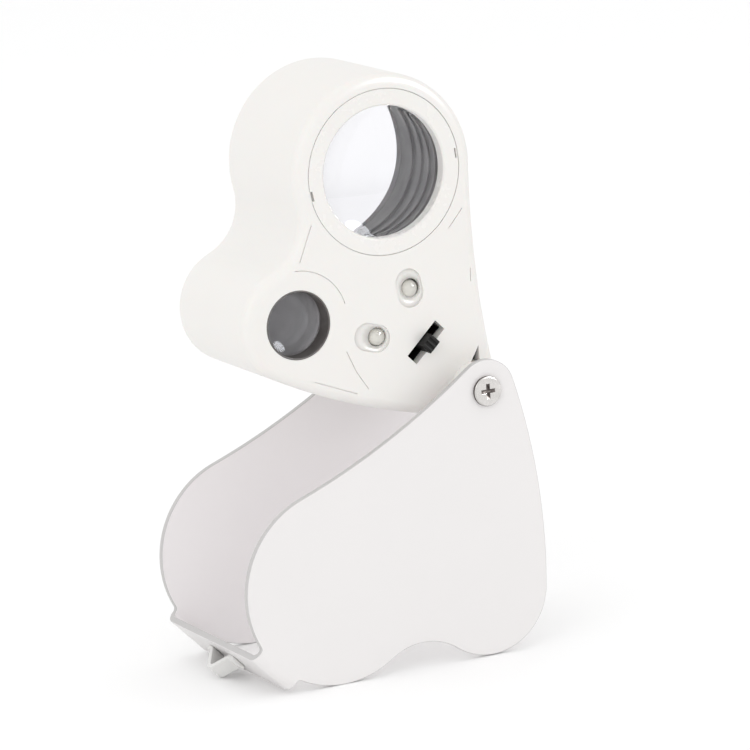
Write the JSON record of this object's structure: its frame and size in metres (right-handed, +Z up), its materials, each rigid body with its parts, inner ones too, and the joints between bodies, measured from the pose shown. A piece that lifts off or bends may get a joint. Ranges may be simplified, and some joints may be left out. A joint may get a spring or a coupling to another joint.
{
  "type": "folding illuminated loupe",
  "caption": "Folding pocket magnifier: a thick two-lobed lens head with two lamps and a slide switch swings out of a bent sheet cover.",
  "frame": {"origin": "middle of the foot print, on the surface the cover stands on", "axes": "+Z up, +X right as seen from the lens side, -Y is the lens side; the hinge pin is parallel to Y"},
  "size_m": [0.0526, 0.0342, 0.0943],
  "materials": {
    "cover_paint": "satin white powder coat on bent steel sheet",
    "loop_steel": "satin off-white coat",
    "white_abs": "warm white moulded ABS, satin",
    "bezel_abs": "warm white moulded ABS, smooth",
    "nickel": "nickel plated steel",
    "small_screw_steel": "zinc plated steel",
    "bush_brass": "turned brass",
    "washer_nylon": "natural nylon",
    "lens_glass": "polished coated lens",
    "barrel_black": "blackened barrel with stop rings",
    "led_epoxy": "clear epoxy",
    "tinned_wire": "tinned lead",
    "board_laminate": "glass-epoxy laminate with a white mask",
    "switch_black": "black nylon",
    "cell_steel": "stainless can",
    "contact_steel": "nickel plated spring strip"
  },
  "bodies": {
    "cover": {"cover_shell": "cover_paint", "lanyard_loop": "loop_steel"},
    "lens_head": {"housing": "white_abs", "rear_cover": "white_abs", "rear_cover_screws": "small_screw_steel", "hinge_bushes": "bush_brass", "hinge_washers": "washer_nylon", "pivot_screws": "nickel", "large_lens_bezel": "bezel_abs", "large_lens_front": "lens_glass", "large_lens_barrel": "barrel_black", "large_lens_rear": "lens_glass", "large_eye_cup": "bezel_abs", "small_lens_bush": "barrel_black", "small_lens_front": "lens_glass", "small_lens_barrel": "barrel_black", "small_lens_rear": "lens_glass", "small_eye_ring": "bezel_abs", "led_large": "led_epoxy", "led_small": "led_epoxy", "led_leads": "tinned_wire", "circuit_board": "board_laminate", "circuit_board_screws": "small_screw_steel", "switch_case": "switch_black", "battery_cells": "cell_steel", "battery_spring": "contact_steel", "battery_contact": "contact_steel", "battery_door": "white_abs", "battery_door_screw": "small_screw_steel"},
    "switch": {"switch_slider": "switch_black"}
  },
  "joints": [
    {"name": "head_swing", "type": "hinge", "parent": "cover", "child": "lens_head", "pos_m": [0.01745, 0, 0.04274], "axis": [0, -1, 0], "range_deg": [-66.2, 113.8]},
    {"name": "switch_slide", "type": "slide", "parent": "lens_head", "child": "switch", "axis": [0.7266, 0, 0.6871], "range_m": [-0.0019, 0.0019]}
  ]
}
